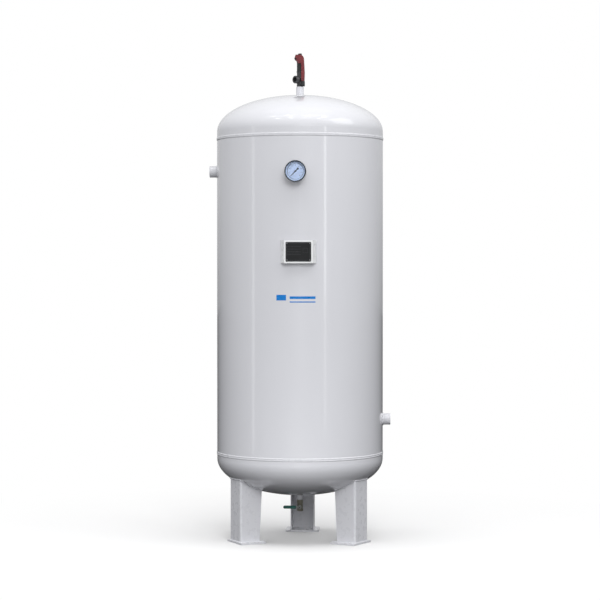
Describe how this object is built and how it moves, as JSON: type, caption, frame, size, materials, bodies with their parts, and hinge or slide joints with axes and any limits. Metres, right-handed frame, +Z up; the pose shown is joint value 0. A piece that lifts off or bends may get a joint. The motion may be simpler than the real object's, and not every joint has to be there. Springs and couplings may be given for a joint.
{
  "type": "air receiver tank",
  "caption": "Vertical welded steel air receiver on channel legs, with lever safety valve, dial gauge, data plate and lever drain valve.",
  "frame": {"origin": "on the tank's vertical axis, at the floor plane under the foot plates (centre of the anchor bolt circle)", "axes": "+Z up along the tank's axis; -Y is the front with the gauge and data plate; -X is the outlet side, +X the inlet side"},
  "size_m": [0.874, 0.9122, 2.344],
  "materials": {
    "tank_paint": "gloss light grey enamel over steel",
    "bracket_paint": "gloss off-white enamel on sheet steel",
    "plate_black": "black anodised sheet with pale etched frame",
    "rivet_aluminium": "satin",
    "plug_steel": "zinc plated, dull",
    "valve_iron": "dark bronze-grey casting, machined lands",
    "black_paint": "satin black",
    "zinc_steel": "bright zinc plated",
    "spring_steel": "oiled spring steel",
    "stainless": "turned stainless",
    "seal_rubber": "matt black",
    "lever_red": "satin red enamel",
    "grip_black": "dipped black vinyl",
    "nickel_brass": "dull nickel-plated brass with an olive cast",
    "ptfe": "white PTFE",
    "teal_vinyl": "dipped teal vinyl",
    "gauge_steel": "dark blue-grey enamel",
    "gauge_glass": "clear",
    "dial_white": "pale matt dial with black scale",
    "pointer_black": "matt black",
    "brass": "bright turned brass"
  },
  "bodies": {
    "receiver": {"shell": "tank_paint", "top_head": "tank_paint", "bottom_head": "tank_paint", "top_seam_weld": "tank_paint", "bottom_seam_weld": "tank_paint", "long_seam_weld": "tank_paint", "outlet_socket": "tank_paint", "inlet_socket": "tank_paint", "safety_socket": "tank_paint", "drain_socket": "tank_paint", "gauge_socket": "tank_paint", "inspection_sockets": "tank_paint", "inspection_plugs": "plug_steel", "socket_welds": "tank_paint", "nameplate_bracket": "bracket_paint", "nameplate": "plate_black", "nameplate_rivets": "rivet_aluminium", "valve_body": "valve_iron", "valve_bonnet": "black_paint", "valve_cap": "black_paint", "spring_adjuster": "zinc_steel", "adjuster_locknut": "zinc_steel", "upper_spring_seat": "zinc_steel", "valve_spring": "spring_steel", "lever_pin": "black_paint", "drain_valve_body": "nickel_brass", "drain_end_adapter": "nickel_brass", "drain_seats": "ptfe", "drain_packing": "ptfe", "drain_packing_nut": "nickel_brass", "gauge_block": "brass", "gauge_case": "gauge_steel", "gauge_bezel": "gauge_steel", "gauge_window": "gauge_glass", "gauge_gasket": "seal_rubber", "gauge_dial": "dial_white", "bourdon_tube": "brass", "gauge_movement": "brass", "leg_rear": "tank_paint", "foot_plate_rear": "tank_paint", "leg_front_left": "tank_paint", "foot_plate_front_left": "tank_paint", "leg_front_right": "tank_paint", "foot_plate_front_right": "tank_paint"},
    "safety_lever": {"lift_lever": "lever_red", "lever_grip": "grip_black"},
    "safety_spindle": {"valve_spindle": "stainless", "valve_disc": "stainless", "disc_seal": "seal_rubber", "lower_spring_seat": "zinc_steel", "lift_nuts": "black_paint"},
    "drain_handle": {"drain_ball": "stainless", "drain_stem": "stainless", "drain_lever": "zinc_steel", "drain_lever_sleeve": "teal_vinyl", "drain_lever_nut": "zinc_steel"},
    "gauge_quadrant": {"gauge_sector": "brass"},
    "gauge_arbor": {"gauge_pinion": "brass", "gauge_pointer": "pointer_black"},
    "gauge_tie": {"gauge_link": "brass"}
  },
  "joints": [
    {"name": "safety_lever_lift", "type": "hinge", "parent": "receiver", "child": "safety_lever", "pos_m": [-0.02, 0, 2.318], "axis": [0, -1, 0], "range_deg": [0, 10]},
    {"name": "spindle_lift", "type": "slide", "parent": "receiver", "child": "safety_spindle", "axis": [0, 0, 1], "range_m": [0, 0.005], "stiffness_N_per_m": 600, "springref_m": -0.008, "deforming": ["valve_spring"]},
    {"name": "drain_turn", "type": "hinge", "parent": "receiver", "child": "drain_handle", "pos_m": [0, -0.031, 0.155], "axis": [0, -1, 0], "range_deg": [0, 90]},
    {"name": "quadrant_swing", "type": "hinge", "parent": "receiver", "child": "gauge_quadrant", "pos_m": [0, -0.4434, 1.734], "axis": [0, -1, 0], "range_deg": [0, 45], "stiffness_Nm_per_rad": 0.004, "springref_deg": -14.32},
    {"name": "pointer_turn", "type": "hinge", "parent": "receiver", "child": "gauge_arbor", "pos_m": [0, -0.4434, 1.755], "axis": [0, 1, 0], "range_deg": [0, 270]},
    {"name": "tie_swing", "type": "hinge", "parent": "gauge_quadrant", "child": "gauge_tie", "pos_m": [-0.00165, -0.4443, 1.72992], "axis": [0, -1, 0], "range_deg": [-45, 0]}
  ],
  "couplings": [
    {"joint": "spindle_lift", "follows": "safety_lever_lift", "m_per_rad": 0.0285},
    {"joint": "pointer_turn", "follows": "quadrant_swing", "ratio": 6},
    {"joint": "tie_swing", "follows": "quadrant_swing", "ratio": -1}
  ]
}
